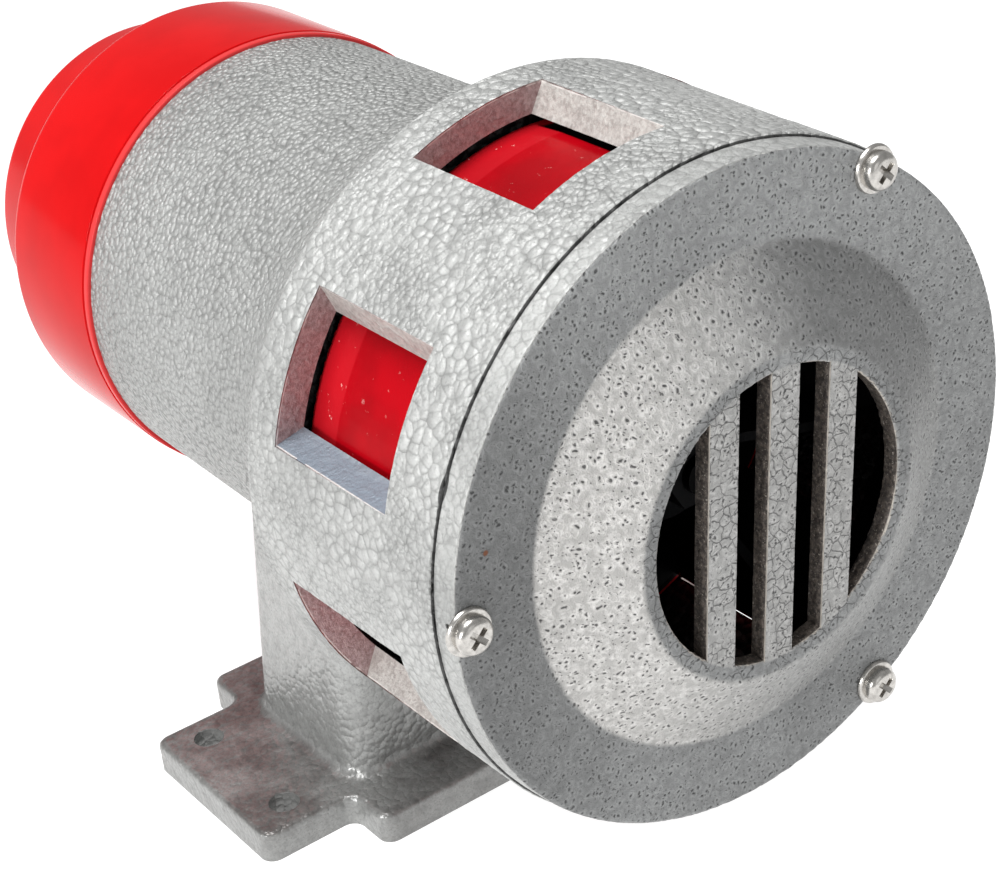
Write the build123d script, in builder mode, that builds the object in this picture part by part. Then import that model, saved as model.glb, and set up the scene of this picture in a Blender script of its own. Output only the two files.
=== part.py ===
from build123d import *
import os
from math import cos, radians, sin

# Motor siren on a cast foot.  Units are millimetres, +Z is up and the origin is the centre of
# the foot's mounting face.  The siren's axis runs along Y, with the air intake facing -Y.
# Positions along that axis are called stations, and angles round it are measured from +X
# towards +Z, as seen from the front.

os.makedirs("parts", exist_ok=True)

# ---- driving dimensions -------------------------------------------------------------------
axis_height = 99.0

cover_face = -110.0          # station of the front cover's flat outer ring
cover_rim_depth = 6.0
cover_radius = 66.0
cover_wall = 3.8
cone_height = 9.0
cone_base_radius = 49.0
grille_rim_radius = 33.0
intake_radius = 29.4
bar_width = 6.7
bar_pitch = 14.2
bar_turn = -4.7              # the bars were cast a little out of square with the foot

drum_radius = 67.6
drum_front_radius = 67.0
drum_bore_radius = 61.5
drum_rear = -45.0
chamber_rear = -52.0
partition_rear = -46.0

barrel_front_radius = 52.4
barrel_rear_radius = 51.8
flare_rear = -12.0
motor_bore_radius = 46.5
spigot_radius = 49.2

port_count = 7
port_first_angle = 101.3
port_front = -90.0
port_rear = -54.5
port_outer_half_width = 15.66
port_inner_half_width = 11.6
port_outer_depth = 65.8      # distances of the two widths from the siren's axis
port_inner_depth = 60.9

cap_front = 48.0
cap_shoulder = 85.5
cap_rear = 112.5
cap_radius = 52.8
cap_boss_radius = 42.6
cap_wall = 2.6

screw_ring_radius = 63.8
screw_first_angle = 58.8
screw_count = 3
screw_radius = 2.0
thread_clearance = 0.05

foot_thickness = 7.2
flange_width = 135.0
flange_depth = 49.2
tab_width = 89.6
tab_depth = 74.2
foot_hole_spacing_x = 115.0
foot_hole_spacing_y = 32.8
foot_hole_radius = 3.5
column_width = 84.0
column_depth = 45.0
column_corner_radius = 8.0
column_draft = 5.0

rotor_radius = 59.8
rotor_wall = 2.8
rotor_front = -94.0
rotor_rear = -53.0
rotor_band = 9.8
rotor_slot_angle = 24.0
rotor_sector_start = 90.4    # where the closed sector behind the first port begins

shaft_radius = 5.0
front_bearing_station = -48.0
rear_bearing_station = 62.0
core_front = -16.0
core_rear = 24.0
armature_radius = 26.0
brush_station = 42.0
commutator_radius = 14.0
brush_inner_end = 14.1
brush_outer_end = 30.0
holder_outer_end = 38.5
bracket_front = 56.0
bracket_rear = 60.0

port_pitch = 360.0 / port_count
grille_face = cover_face - cone_height
seam = cover_face + cover_rim_depth
siren_axis = Axis((0, 0, axis_height), (0, 1, 0))

# Profiles of turned shapes are drawn here: x is the station, y the radius.
turning_plane = Plane(origin=(0, 0, axis_height), x_dir=(0, 1, 0), z_dir=(1, 0, 0))


# ---- helpers ------------------------------------------------------------------------------
def cross_plane(station, turn=0.0):
    """Plane across the siren's axis, seen from the front: extruding goes towards the front."""
    across = (cos(radians(turn)), 0, sin(radians(turn)))
    return Plane(origin=(0, station, axis_height), x_dir=across, z_dir=(0, -1, 0))


def radial_plane(angle, distance, station):
    """Plane facing straight out from the siren's axis, with its x along the axis."""
    outward = Vector(cos(radians(angle)), 0, sin(radians(angle)))
    origin = Vector(0, station, axis_height) + outward * distance
    return Plane(origin=origin, x_dir=(0, 1, 0), z_dir=outward)


def turned(points, radii=0):
    """Solid of revolution round the siren's axis from a closed outline of (station, radius)."""
    with BuildPart() as body:
        with BuildSketch(turning_plane):
            with BuildLine():
                FilletPolyline(*points, radius=radii, close=True)
            make_face()
        revolve(axis=siren_axis)
    return body.part


def ring(front, rear, inner, outer):
    """Plain tube or disc between two stations."""
    with BuildPart() as body:
        with BuildSketch(cross_plane(front)):
            Circle(outer)
            if inner:
                Circle(inner, mode=Mode.SUBTRACT)
        extrude(amount=front - rear)
    return body.part


def save(piece, name):
    piece.label = name
    export_step(piece, f"parts/{name}.step")


def one_or_many(piece):
    """A lone solid as it is, and several as one compound."""
    solids = piece.solids()
    return solids[0] if len(solids) == 1 else Compound(children=solids)


# ---- housing casting: drum, flare, barrel, column and foot ----------------------------------
drum_step = (drum_rear + 3.2, drum_radius - 3.4)   # where the drum's rear edge meets the flare
housing_outline = [
    (seam, 0),
    (seam, drum_front_radius),
    (drum_rear, drum_radius),
    drum_step,
]
flare_arc_radius = 48.0
flare_wall = 4.0
motor_chamber_front_radius = 58.0
spigot_rear = bracket_front
column_rise = 62.0
column_root_fillet = 2.6
foot_corner_radius = 3.2
foot_edge_fillet = 1.2
column_wall = 6.5
core_height = 38.0
core_draft = 3.0
lug_radius = 5.2
lug_ring_radius = screw_ring_radius - 2.2
lug_length = 9.5
bearing_boss_radius = 20.0
bearing_boss_rear = -40.0
front_bearing_outer = 13.0
partition_hole_radius = 9.0
port_middle = (port_front + port_rear) / 2
port_length = port_rear - port_front
port_widening = (port_outer_half_width - port_inner_half_width) / (port_outer_depth - port_inner_depth)
port_cut_start = port_inner_depth - 3.0
port_cut_end = port_outer_depth + 6.0
retainer_screw_ring = 16.5
retainer_screw_count = 3
retainer_screw_angle = 30
retainer_screw_radius = 1.5
retainer_screw_depth = 6.0



def foot_top_edges(body):
    """Level edges at the height of the foot's upper face."""
    return [
        edge
        for edge in body.edges()
        if abs(edge.center().Z - foot_thickness) < 0.01 and edge.bounding_box().size.Z < 0.01
    ]


def beside_column(edge, margin):
    """Whether an edge's middle lies within the column's footprint plus a margin."""
    spot = edge.center()
    return abs(spot.X) < column_width / 2 + margin and abs(spot.Y) < column_depth / 2 + margin


with BuildPart() as housing:
    with BuildSketch(turning_plane):
        with BuildLine():
            FilletPolyline(*housing_outline, radius=[0.8, 2.2])
            RadiusArc(drum_step, (flare_rear, barrel_front_radius), -flare_arc_radius)
            Polyline(
                (flare_rear, barrel_front_radius),
                (cap_front, barrel_rear_radius),
                (cap_front, spigot_radius),
                (spigot_rear, spigot_radius),
                (spigot_rear, 0),
                (seam, 0),
            )
        make_face()
    revolve(axis=siren_axis)

    # column, drafted so that it widens towards the foot
    with BuildSketch(Plane.XY.offset(foot_thickness)):
        RectangleRounded(column_width, column_depth, column_corner_radius)
    extrude(amount=column_rise, taper=column_draft)

    # plus-shaped foot
    with BuildSketch(Plane.XY) as foot_outline:
        Rectangle(flange_width, flange_depth)
        Rectangle(tab_width, tab_depth)
        fillet(foot_outline.vertices(), foot_corner_radius)
    extrude(amount=foot_thickness)

    column_root = [edge for edge in foot_top_edges(housing) if beside_column(edge, 0.5)]
    fillet(column_root, column_root_fillet)
    foot_rim = [edge for edge in foot_top_edges(housing) if not beside_column(edge, 5.0)]
    fillet(foot_rim, foot_edge_fillet)

    # rotor chamber, open at the front
    with BuildSketch(cross_plane(seam)):
        Circle(drum_bore_radius)
    extrude(amount=seam - chamber_rear, mode=Mode.SUBTRACT)

    # motor chamber, open at the rear, which follows the flare
    with BuildSketch(turning_plane):
        with BuildLine():
            Polyline(
                (spigot_rear, 0),
                (spigot_rear, motor_bore_radius),
                (flare_rear, motor_bore_radius),
            )
            RadiusArc(
                (flare_rear, motor_bore_radius),
                (partition_rear, motor_chamber_front_radius),
                flare_arc_radius + flare_wall,
            )
            Polyline(
                (partition_rear, motor_chamber_front_radius),
                (partition_rear, 0),
                (spigot_rear, 0),
            )
        make_face()
    revolve(axis=siren_axis, mode=Mode.SUBTRACT)

    # bearing boss on the partition, and the lugs that the cover screws go into
    with BuildSketch(cross_plane(chamber_rear)):
        Circle(bearing_boss_radius)
    extrude(amount=chamber_rear - bearing_boss_rear)
    with BuildSketch(cross_plane(seam)):
        with PolarLocations(lug_ring_radius, screw_count, start_angle=screw_first_angle):
            Circle(lug_radius)
    extrude(amount=-lug_length)

    with BuildSketch(cross_plane(front_bearing_station)):
        Circle(front_bearing_outer)
    extrude(amount=front_bearing_station - bearing_boss_rear, mode=Mode.SUBTRACT)
    with BuildSketch(cross_plane(chamber_rear)):
        Circle(partition_hole_radius)
    extrude(amount=chamber_rear - front_bearing_station, mode=Mode.SUBTRACT)

    # sound ports round the drum
    for index in range(port_count):
        port_angle = port_first_angle + index * port_pitch
        for depth in (port_cut_start, port_cut_end):
            half_width = port_inner_half_width + (depth - port_inner_depth) * port_widening
            with BuildSketch(radial_plane(port_angle, depth, port_middle)):
                Rectangle(port_length, 2 * half_width)
        loft(mode=Mode.SUBTRACT)

    # tapped holes for the cover screws and for the bearing retainer's screws
    with BuildSketch(cross_plane(seam)):
        with PolarLocations(screw_ring_radius, screw_count, start_angle=screw_first_angle):
            Circle(screw_radius)
    extrude(amount=-lug_length, mode=Mode.SUBTRACT)
    with BuildSketch(cross_plane(bearing_boss_rear)):
        with PolarLocations(retainer_screw_ring, retainer_screw_count, start_angle=retainer_screw_angle):
            Circle(retainer_screw_radius)
    extrude(amount=retainer_screw_depth, mode=Mode.SUBTRACT)

    # bolt holes and the cored-out underside of the column
    with BuildSketch(Plane.XY):
        with GridLocations(foot_hole_spacing_x, foot_hole_spacing_y, 2, 2):
            Circle(foot_hole_radius)
    extrude(amount=foot_thickness, mode=Mode.SUBTRACT)
    with BuildSketch(Plane.XY):
        RectangleRounded(column_width - 2 * column_wall, column_depth - 2 * column_wall, 4.0)
    extrude(amount=core_height, taper=core_draft, mode=Mode.SUBTRACT)
save(housing.part, "housing")

# ---- front cover: flat ring, raised cone and barred intake ----------------------------------
cone_root_radius = 1.5
grille_back = grille_face + cover_wall
cover_land_radius = 57.0     # inner radius of the thick rim that rests on the drum
cover_hole_radius = screw_radius + 0.15

cover_section = [
    (seam, cover_land_radius),
    (seam, cover_radius + 0.4),
    (cover_face, cover_radius),
    (cover_face, cone_base_radius),
    (grille_face, grille_rim_radius),
    (grille_face, intake_radius),
    (grille_back, intake_radius),
    (grille_back, grille_rim_radius - 1.6),
    (cover_face + cover_wall, cone_base_radius - 1.6),
    (cover_face + cover_wall, cover_land_radius),
]
cover_fillets = [0.4, 0.2, 0.9, cone_root_radius, 1.4, 0.5, 0.4, 1.0, 2.0, 1.0]

with BuildPart() as front_cover:
    with BuildSketch(turning_plane):
        with BuildLine():
            FilletPolyline(*cover_section, radius=cover_fillets, close=True)
        make_face()
    revolve(axis=siren_axis)
    with BuildSketch(cross_plane(seam)):
        with PolarLocations(screw_ring_radius, screw_count, start_angle=screw_first_angle):
            Circle(cover_hole_radius)
    extrude(amount=cover_rim_depth + 1.0, mode=Mode.SUBTRACT)
    with BuildSketch(cross_plane(grille_face, bar_turn)):
        with GridLocations(bar_pitch, 0, 3, 1):
            Rectangle(bar_width, 2 * grille_rim_radius)
        Circle(intake_radius + 0.6, mode=Mode.INTERSECT)
    extrude(amount=-cover_wall)
save(front_cover.part, "front_cover")


# ---- cover screws: pan heads with a cross recess, over plain washers ---------------------------
screw_head_radius = 3.7
screw_head_height = 2.5
washer_thickness = 0.9
washer_radius = 4.7
washer_front = cover_face - washer_thickness
cover_screw_length = 12.5
crown_share = 0.55           # crown radius and recess depth as shares of the head's height
recess_share = 0.6
recess_span = 1.14           # cross recess as shares of the head's radius
recess_slot = 0.28


def pan_screws(seat, length, spots, shank, head, height, forwards=True):
    """Pan-head screws whose heads stand on the seat, pointing to the front or to the rear."""
    way = 1 if forwards else -1
    count = len(spots.local_locations)
    with BuildPart() as body:
        with BuildSketch(cross_plane(seat)):
            with spots:
                Circle(head)
        extrude(amount=way * height)
        ends = body.faces().sort_by(Axis.Y)
        crowns = ends[:count] if forwards else ends[-count:]
        fillet(crowns.edges(), height * crown_share)
        with BuildSketch(cross_plane(seat)):
            with spots:
                Circle(shank)
        extrude(amount=-way * length)
        with BuildSketch(cross_plane(seat - way * height)):
            with spots:
                Rectangle(head * recess_span, head * recess_slot)
                Rectangle(head * recess_slot, head * recess_span)
        extrude(amount=-way * height * recess_share, mode=Mode.SUBTRACT)
    return one_or_many(body.part)


save(
    pan_screws(
        washer_front,
        cover_screw_length,
        PolarLocations(screw_ring_radius, screw_count, start_angle=screw_first_angle),
        screw_radius - thread_clearance,
        screw_head_radius,
        screw_head_height,
    ),
    "cover_screws",
)

with BuildPart() as cover_screw_washers:
    with BuildSketch(cross_plane(cover_face)):
        with PolarLocations(screw_ring_radius, screw_count, start_angle=screw_first_angle):
            Circle(washer_radius)
            Circle(screw_radius + 0.1, mode=Mode.SUBTRACT)
    extrude(amount=washer_thickness)
save(one_or_many(cover_screw_washers.part), "cover_screw_washers")


# ---- rear cap: moulded cup with a stepped end -------------------------------------------------
cap_bore_radius = cap_radius - cap_wall
cap_outline = [
    (cap_front, cap_bore_radius),
    (cap_front, cap_radius),
    (cap_shoulder, cap_radius),
    (cap_shoulder + 2.2, cap_boss_radius + 1.8),
    (cap_rear, cap_boss_radius),
    (cap_rear, 0),
    (cap_rear - cap_wall, 0),
    (cap_rear - cap_wall, cap_boss_radius - cap_wall),
    (cap_shoulder - 1.6, cap_boss_radius - cap_wall + 1.8),
    (cap_shoulder - cap_wall, cap_bore_radius),
]
cap_fillets = [0.3, 0.7, 3.4, 1.6, 5.0, 0, 0, 2.6, 1.0, 1.2]
cap_screw_offset = 27.0
cap_screw_length = 13.0
cap_screw_hole = 2.2
grommet_station = 68.0
grommet_hole_radius = 5.0

with BuildPart() as rear_cap:
    with BuildSketch(turning_plane):
        with BuildLine():
            FilletPolyline(*cap_outline, radius=cap_fillets, close=True)
        make_face()
    revolve(axis=siren_axis)
    with BuildSketch(cross_plane(cap_rear)):
        with GridLocations(2 * cap_screw_offset, 0, 2, 1):
            Circle(cap_screw_hole)
    extrude(amount=cap_wall + 1.0, mode=Mode.SUBTRACT)
    with BuildSketch(radial_plane(270, 0, grommet_station)):
        Circle(grommet_hole_radius)
    extrude(amount=cap_radius + 5.0, mode=Mode.SUBTRACT)
save(rear_cap.part, "rear_cap")

# rubber grommet that lines the cable entry under the cap
grommet_lip = 1.6
grommet_bore_radius = 3.4
grommet_axis = Axis((0, grommet_station, axis_height), (0, 0, 1))
grommet_inner = axis_height - cap_bore_radius
grommet_outer = axis_height - cap_radius
with BuildPart() as cable_grommet:
    with BuildSketch(Plane(origin=(0, grommet_station, 0), x_dir=(0, 1, 0), z_dir=(1, 0, 0))):
        with BuildLine():
            Polyline(
                (grommet_bore_radius, grommet_inner + grommet_lip),
                (grommet_hole_radius + 1.8, grommet_inner + grommet_lip),
                (grommet_hole_radius + 1.8, grommet_inner + 0.1),
                (grommet_hole_radius - 0.05, grommet_inner + 0.1),
                (grommet_hole_radius - 0.05, grommet_outer - 0.1),
                (grommet_hole_radius + 1.8, grommet_outer - 0.1),
                (grommet_hole_radius + 1.8, grommet_outer - grommet_lip),
                (grommet_bore_radius, grommet_outer - grommet_lip),
                close=True,
            )
        make_face()
    revolve(axis=grommet_axis)
    with BuildSketch(cross_plane(cap_front)):
        Circle(cap_radius + 0.1)
        Circle(cap_bore_radius - 0.1, mode=Mode.SUBTRACT)
    extrude(amount=-(cap_shoulder - cap_front), mode=Mode.SUBTRACT)
    # the neck through the cap's wall
    with BuildSketch(Plane.XY.offset(grommet_outer - 0.6)):
        with Locations((0, grommet_station)):
            Circle(grommet_hole_radius - 0.05)
            Circle(grommet_bore_radius, mode=Mode.SUBTRACT)
    extrude(amount=cap_wall + 1.2)
save(cable_grommet.part, "cable_grommet")


# ---- shaft and rotor ------------------------------------------------------------------------
shaft_front = -90.0
thread_front = -98.0
thread_radius = 4.0
shaft_rear_radius = 4.0
rear_bearing_width = 7.0
front_bearing_width = 8.0
shaft_rear = rear_bearing_station + rear_bearing_width + 2.0
shaft_outline = [
    (thread_front, 0),
    (thread_front, thread_radius),
    (shaft_front, thread_radius),
    (shaft_front, shaft_radius),
    (rear_bearing_station - 1.0, shaft_radius),
    (rear_bearing_station - 1.0, shaft_rear_radius),
    (shaft_rear, shaft_rear_radius),
    (shaft_rear, 0),
]
save(turned(shaft_outline), "motor_shaft")

slot_first_angle = rotor_sector_start - rotor_slot_angle / 2
slot_front = -89.5
slot_rear = -55.5
band_front = rotor_rear - rotor_band
rotor_inner_radius = rotor_radius - rotor_wall
rotor_outline = [
    (rotor_front, rotor_inner_radius),
    (rotor_front, rotor_radius),
    (band_front, rotor_radius),
    (rotor_rear, rotor_radius - 0.7),
    (rotor_rear, rotor_inner_radius),
]


def slot_cutter(angle):
    """Slot through the rotor's rim, with sides that point at the siren's axis."""
    reach = rotor_radius + 6.0
    half = radians(rotor_slot_angle / 2)
    with BuildPart(mode=Mode.PRIVATE) as cutter:
        with BuildSketch(cross_plane(slot_front, angle)):
            with BuildLine():
                Polyline(
                    (0, 0),
                    (reach * cos(half), reach * sin(half)),
                    (reach * cos(half), -reach * sin(half)),
                    close=True,
                )
            make_face()
            Circle(rotor_inner_radius - 5.0, mode=Mode.SUBTRACT)
        extrude(amount=slot_front - slot_rear)
    return cutter.part


with BuildPart() as rotor_drum:
    with BuildSketch(turning_plane):
        with BuildLine():
            FilletPolyline(*rotor_outline, radius=[0.3, 0.9, 0, 0.8, 0.3], close=True)
        make_face()
    revolve(axis=siren_axis)
    for index in range(port_count):
        add(slot_cutter(slot_first_angle + index * port_pitch), mode=Mode.SUBTRACT)
save(rotor_drum.part, "rotor_drum")

# impeller pressed into the rotor drum: back plate, hub and one vane behind each closed sector
impeller_radius = rotor_inner_radius - 0.02
back_plate_thickness = 3.0
hub_radius = 13.0
hub_front = -88.0
vane_front = -91.0
vane_thickness = 2.0
vane_offset = 3.0            # degrees past the start of each closed sector
vane_middle_radius = (hub_radius + impeller_radius) / 2 - 0.5
with BuildPart() as impeller:
    with BuildSketch(cross_plane(rotor_rear)):
        Circle(impeller_radius)
    extrude(amount=back_plate_thickness)
    with BuildSketch(cross_plane(rotor_rear)):
        Circle(hub_radius)
    extrude(amount=rotor_rear - hub_front)
    with BuildSketch(cross_plane(rotor_rear)):
        with PolarLocations(vane_middle_radius, port_count, start_angle=rotor_sector_start + vane_offset):
            Rectangle(impeller_radius - hub_radius + 0.6, vane_thickness)
    extrude(amount=rotor_rear - vane_front)
    with BuildSketch(cross_plane(rotor_rear)):
        Circle(shaft_radius)
    extrude(amount=rotor_rear - hub_front, mode=Mode.SUBTRACT)
    eye_cut = [
        (vane_front - 0.1, 0),
        (vane_front - 0.1, intake_radius + 4.0),
        (hub_front, hub_radius + 6.0),
        (hub_front, 0),
    ]
    with BuildSketch(turning_plane):
        with BuildLine():
            Polyline(*eye_cut, close=True)
        make_face()
    revolve(axis=siren_axis, mode=Mode.SUBTRACT)
save(impeller.part, "impeller")

rotor_washer_thickness = 2.0
rotor_washer_radius = 9.0
nut_half_width = 6.5
nut_thickness = 6.0
washer_front_station = hub_front - rotor_washer_thickness
save(ring(washer_front_station, hub_front, shaft_radius, rotor_washer_radius), "rotor_washer")
with BuildPart() as rotor_nut:
    with BuildSketch(cross_plane(washer_front_station)):
        RegularPolygon(nut_half_width, 6, major_radius=False)
        Circle(thread_radius, mode=Mode.SUBTRACT)
    extrude(amount=nut_thickness)
save(rotor_nut.part, "rotor_nut")


# ---- ball bearings ----------------------------------------------------------------------------
def ball_bearing(prefix, front, width, bore, outside, ball_radius, ball_count):
    """Deep-groove bearing as four pieces: two races, the balls, and the cage between them."""
    middle = front + width / 2
    pitch = (bore + outside) / 2
    half_gap = ball_radius * 0.52
    cage_half_wall = half_gap * 0.62
    cage_half_width = ball_radius * 1.22
    groove = ball_radius + 0.05
    for name, inner, outer in (
        ("outer_race", pitch + half_gap, outside),
        ("inner_race", bore, pitch - half_gap),
    ):
        with BuildPart() as race:
            with BuildSketch(turning_plane):
                with Locations((middle, (inner + outer) / 2)):
                    Rectangle(width, outer - inner)
                with Locations((middle, pitch)):
                    Circle(groove, mode=Mode.SUBTRACT)
            revolve(axis=siren_axis)
        save(race.part, f"{prefix}_bearing_{name}")
    angles = [360.0 * (index + 0.3) / ball_count for index in range(ball_count)]
    spots = [radial_plane(angle, pitch, middle).origin for angle in angles]
    with BuildPart() as balls:
        with Locations(*spots):
            Sphere(ball_radius)
    save(one_or_many(balls.part), f"{prefix}_bearing_balls")
    with BuildPart() as cage:
        with BuildSketch(cross_plane(middle + cage_half_width)):
            Circle(pitch + cage_half_wall)
            Circle(pitch - cage_half_wall, mode=Mode.SUBTRACT)
        extrude(amount=2 * cage_half_width)
        for angle in angles:
            with BuildSketch(radial_plane(angle, pitch - half_gap, middle)):
                Circle(ball_radius + 0.06)
            extrude(amount=2 * half_gap, mode=Mode.SUBTRACT)
    save(cage.part, f"{prefix}_bearing_cage")


front_ball_radius = 2.38
rear_ball_radius = 1.98
rear_bearing_outer = 11.0
bearing_balls = 7
ball_bearing(
    "front",
    front_bearing_station,
    front_bearing_width,
    shaft_radius,
    front_bearing_outer,
    front_ball_radius,
    bearing_balls,
)
ball_bearing(
    "rear",
    rear_bearing_station,
    rear_bearing_width,
    shaft_rear_radius,
    rear_bearing_outer,
    rear_ball_radius,
    bearing_balls,
)

# plate and screws that hold the front bearing in its seat
retainer_thickness = 1.5
retainer_spots = PolarLocations(
    retainer_screw_ring,
    retainer_screw_count,
    start_angle=retainer_screw_angle,
)
with BuildPart() as bearing_retainer:
    with BuildSketch(cross_plane(bearing_boss_rear)):
        Circle(bearing_boss_radius - 0.5)
        Circle(front_bearing_outer - 1.5, mode=Mode.SUBTRACT)
        with retainer_spots:
            Circle(retainer_screw_radius + 0.1, mode=Mode.SUBTRACT)
    extrude(amount=-retainer_thickness)
save(bearing_retainer.part, "bearing_retainer")
save(
    pan_screws(
        bearing_boss_rear + retainer_thickness,
        6.5,
        retainer_spots,
        retainer_screw_radius - thread_clearance,
        2.7,
        1.8,
        forwards=False,
    ),
    "bearing_retainer_screws",
)


# ---- motor: field, armature and commutator ---------------------------------------------------
stator_radius = motor_bore_radius - 0.05
yoke_inner_radius = 40.0
pole_shoe_radius = armature_radius + 0.6
pole_shoe_outer = pole_shoe_radius + 4.0
pole_neck = 24.0
shoe_angle = 104.0
shoe_trim = 2 * pole_shoe_outer * (1 - sin(radians(shoe_angle / 2)))
with BuildPart() as stator_core:
    with BuildSketch(cross_plane(core_front)):
        Circle(stator_radius)
        Circle(yoke_inner_radius, mode=Mode.SUBTRACT)
        for side in (-1, 1):
            with Locations((side * (pole_shoe_radius + yoke_inner_radius) / 2, 0)):
                Rectangle(yoke_inner_radius - pole_shoe_radius + 2.0, pole_neck)
        with BuildSketch(cross_plane(core_front), mode=Mode.PRIVATE) as shoes:
            Circle(pole_shoe_outer)
            with Locations((0, pole_shoe_outer), (0, -pole_shoe_outer)):
                Rectangle(2 * pole_shoe_outer, shoe_trim, mode=Mode.SUBTRACT)
        add(shoes.sketch_local)
        Circle(pole_shoe_radius, mode=Mode.SUBTRACT)
    extrude(amount=core_front - core_rear)
save(stator_core.part, "stator_core")

coil_gap = 0.4
coil_inner_end = pole_shoe_outer + coil_gap
coil_outer_end = yoke_inner_radius - 4.0
coil_thickness = 8.0
core_middle = (core_front + core_rear) / 2
core_length = core_rear - core_front
with BuildPart() as field_coils:
    for side in (0, 180):
        with BuildSketch(radial_plane(side, coil_inner_end, core_middle)):
            RectangleRounded(core_length + 2 * coil_thickness, pole_neck + coil_thickness, 5.0)
            Rectangle(core_length + 1.0, pole_neck + 1.0, mode=Mode.SUBTRACT)
        extrude(amount=coil_outer_end - coil_inner_end)
save(one_or_many(field_coils.part), "field_coils")

armature_slots = 12
slot_depth = 9.0
slot_width = 4.4
with BuildPart() as armature_core:
    with BuildSketch(cross_plane(core_front)):
        Circle(armature_radius)
        with PolarLocations(armature_radius - slot_depth / 2, armature_slots):
            Rectangle(slot_depth + 0.5, slot_width, mode=Mode.SUBTRACT)
        Circle(shaft_radius, mode=Mode.SUBTRACT)
    extrude(amount=core_front - core_rear)
save(armature_core.part, "armature_core")

winding_overhang = 8.0
with BuildPart() as armature_winding:
    with BuildSketch(cross_plane(core_front)):
        with PolarLocations(armature_radius - slot_depth / 2 - 0.5, armature_slots):
            Rectangle(slot_depth - 1.0, slot_width - 0.1)
    extrude(amount=core_front - core_rear)
    for start, way in ((core_front, 1), (core_rear, -1)):
        with BuildSketch(cross_plane(start)):
            Circle(armature_radius - 1.0)
            Circle(shaft_radius + 1.2, mode=Mode.SUBTRACT)
        extrude(amount=way * winding_overhang)
save(armature_winding.part, "armature_winding")

commutator_front = core_rear + winding_overhang + 0.5
commutator_rear = 51.0
segment_count = 24
segment_gap = 0.5
segment_gap_depth = 1.2
with BuildPart() as commutator:
    with BuildSketch(cross_plane(commutator_front)):
        Circle(commutator_radius)
        Circle(shaft_radius, mode=Mode.SUBTRACT)
        with PolarLocations(commutator_radius, segment_count):
            Rectangle(2 * segment_gap_depth, segment_gap, mode=Mode.SUBTRACT)
    extrude(amount=commutator_front - commutator_rear)
save(commutator.part, "commutator")


# ---- rear bracket with the brush gear ---------------------------------------------------------
bracket_hub_radius = 15.0
bracket_post_radius = 4.5
bracket_post_rear = cap_rear - cap_wall
bracket_window_ring = 31.0
bracket_window_radius = 10.0
bracket_bore_radius = 8.0
cap_screw_thread_depth = 12.0
with BuildPart() as rear_bracket:
    with BuildSketch(cross_plane(bracket_front)):
        Circle(spigot_radius)
        with PolarLocations(bracket_window_ring, 4, start_angle=45):
            Circle(bracket_window_radius, mode=Mode.SUBTRACT)
    extrude(amount=bracket_front - bracket_rear)
    with BuildSketch(cross_plane(bracket_front)):
        Circle(bracket_hub_radius)
    extrude(amount=bracket_front - rear_bearing_station - rear_bearing_width - 1.0)
    with BuildSketch(cross_plane(bracket_rear)):
        with GridLocations(2 * cap_screw_offset, 0, 2, 1):
            Circle(bracket_post_radius)
    extrude(amount=bracket_rear - bracket_post_rear)
    with BuildSketch(cross_plane(bracket_post_rear)):
        with GridLocations(2 * cap_screw_offset, 0, 2, 1):
            Circle(screw_radius)
    extrude(amount=cap_screw_thread_depth, mode=Mode.SUBTRACT)
    with BuildSketch(cross_plane(rear_bearing_station)):
        Circle(rear_bearing_outer)
    extrude(amount=-rear_bearing_width - 1.0, mode=Mode.SUBTRACT)
    with BuildSketch(cross_plane(bracket_front)):
        Circle(bracket_bore_radius)
    extrude(amount=bracket_front - rear_bearing_station, mode=Mode.SUBTRACT)
save(rear_bracket.part, "rear_bracket")

save(
    pan_screws(
        cap_rear,
        cap_screw_length,
        GridLocations(2 * cap_screw_offset, 0, 2, 1),
        screw_radius - thread_clearance,
        screw_head_radius,
        screw_head_height,
        forwards=False,
    ),
    "rear_cap_screws",
)

brush_width = 6.4            # along the siren's axis
brush_height = 8.0
holder_wall = 0.8
holder_inner_end = 16.5
block_inner_end = 19.0
block_outer_end = 36.0
block_front = 35.0
block_height = 17.0
sliding_clearance = 0.05
holder_width = brush_width + 2 * (holder_wall + sliding_clearance)
holder_height = brush_height + 2 * (holder_wall + sliding_clearance)


with BuildPart() as brush_blocks:
    for side in (0, 180):
        with BuildSketch(radial_plane(side, block_inner_end, (block_front + bracket_front) / 2)):
            Rectangle(bracket_front - block_front, block_height)
        extrude(amount=block_outer_end - block_inner_end)
        with BuildSketch(radial_plane(side, block_inner_end, brush_station)):
            Rectangle(holder_width, holder_height)
        extrude(amount=block_outer_end - block_inner_end, mode=Mode.SUBTRACT)
save(one_or_many(brush_blocks.part), "brush_blocks")

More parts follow.
